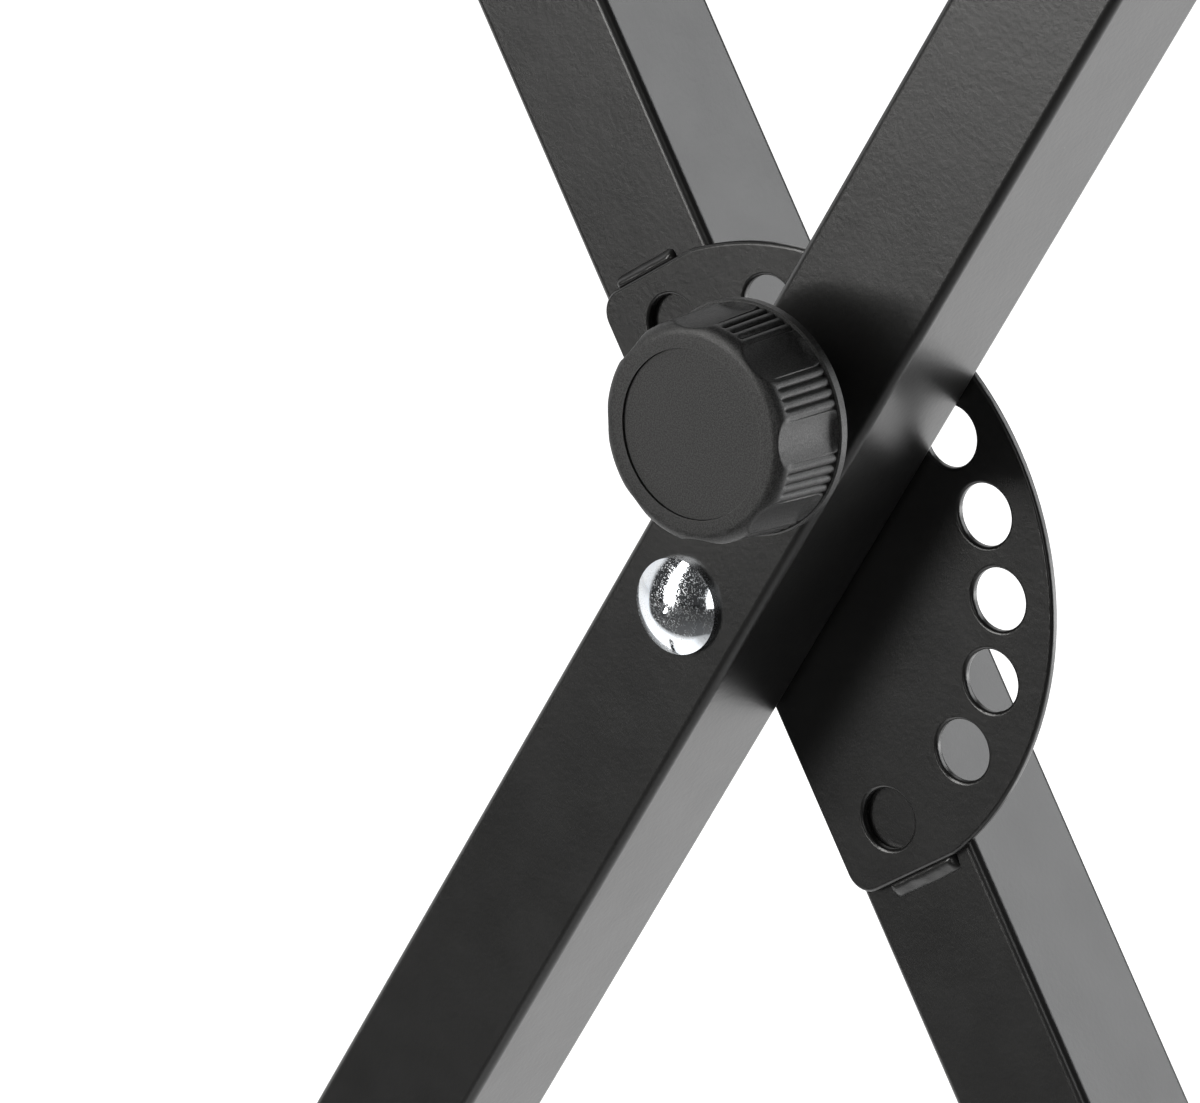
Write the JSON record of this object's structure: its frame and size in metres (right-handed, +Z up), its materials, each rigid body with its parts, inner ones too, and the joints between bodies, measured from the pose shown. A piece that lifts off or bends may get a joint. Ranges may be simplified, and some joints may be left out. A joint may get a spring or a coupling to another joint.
{
  "type": "keyboard stand",
  "caption": "Folding X-shaped keyboard stand in black square tube: crossed legs on a bolt, a pull knob whose pin locks in an arc of holes, rubber-booted foot bars and padded top arms.",
  "frame": {"origin": "on the floor, below the pivot, in the middle of the stand's box", "axes": "+X to the right seen from the knob side, +Y from the knob side to the rear, +Z up"},
  "size_m": [0.6078, 0.412, 0.8548],
  "materials": {
    "black_paint": "satin black powder coat with a fine grain",
    "bright_zinc": "bright plated, slightly scratched",
    "plain_steel": "turned steel",
    "knob_plastic": "finely grained black moulding",
    "rubber": "matt moulded rubber",
    "nylon": "plain nylon"
  },
  "bodies": {
    "rear_leg": {"friction_washer": "nylon", "left_arm_back_cap": "rubber", "left_arm_back_sleeve": "rubber", "left_arm_end_plate": "black_paint", "left_arm_front_cap": "rubber", "left_arm_front_sleeve": "rubber", "left_arm_saddle": "black_paint", "left_arm_tube": "black_paint", "lock_plate": "black_paint", "lock_plate_welds": "black_paint", "rear_leg_bar_bolts": "bright_zinc", "rear_leg_bar_nuts": "bright_zinc", "rear_leg_bar_washers": "bright_zinc", "rear_leg_end_plate_welds": "black_paint", "rear_leg_tube": "black_paint", "rear_pivot_spacer": "plain_steel", "right_foot_back_boot": "rubber", "right_foot_end_plate": "black_paint", "right_foot_front_boot": "rubber", "right_foot_saddle": "black_paint", "right_foot_tube": "black_paint"},
    "front_leg": {"front_leg_bar_bolts": "bright_zinc", "front_leg_bar_nuts": "bright_zinc", "front_leg_bar_washers": "bright_zinc", "front_leg_end_plate_welds": "black_paint", "front_leg_tube": "black_paint", "front_pivot_spacer": "plain_steel", "left_foot_back_boot": "rubber", "left_foot_end_plate": "black_paint", "left_foot_front_boot": "rubber", "left_foot_saddle": "black_paint", "left_foot_tube": "black_paint", "right_arm_back_cap": "rubber", "right_arm_back_sleeve": "rubber", "right_arm_end_plate": "black_paint", "right_arm_front_cap": "rubber", "right_arm_front_sleeve": "rubber", "right_arm_saddle": "black_paint", "right_arm_tube": "black_paint", "pivot_bolt": "bright_zinc", "pivot_washer": "bright_zinc", "pivot_lock_nut": "bright_zinc", "pin_bush": "plain_steel", "pin_spring": "plain_steel"},
    "lock_knob": {"pull_knob": "knob_plastic", "knob_cap": "knob_plastic", "lock_pin": "plain_steel"}
  },
  "joints": [
    {"name": "fold", "type": "hinge", "parent": "rear_leg", "child": "front_leg", "pos_m": [0, 0, 0.42015], "axis": [0, 1, 0], "range_deg": [-63, 90]},
    {"name": "knob_pull", "type": "slide", "parent": "front_leg", "child": "lock_knob", "axis": [0, 1, 0], "range_m": [-0.002, 0.002], "stiffness_N_per_m": 2000, "springref_m": 0.006, "deforming": ["pin_spring"]}
  ]
}
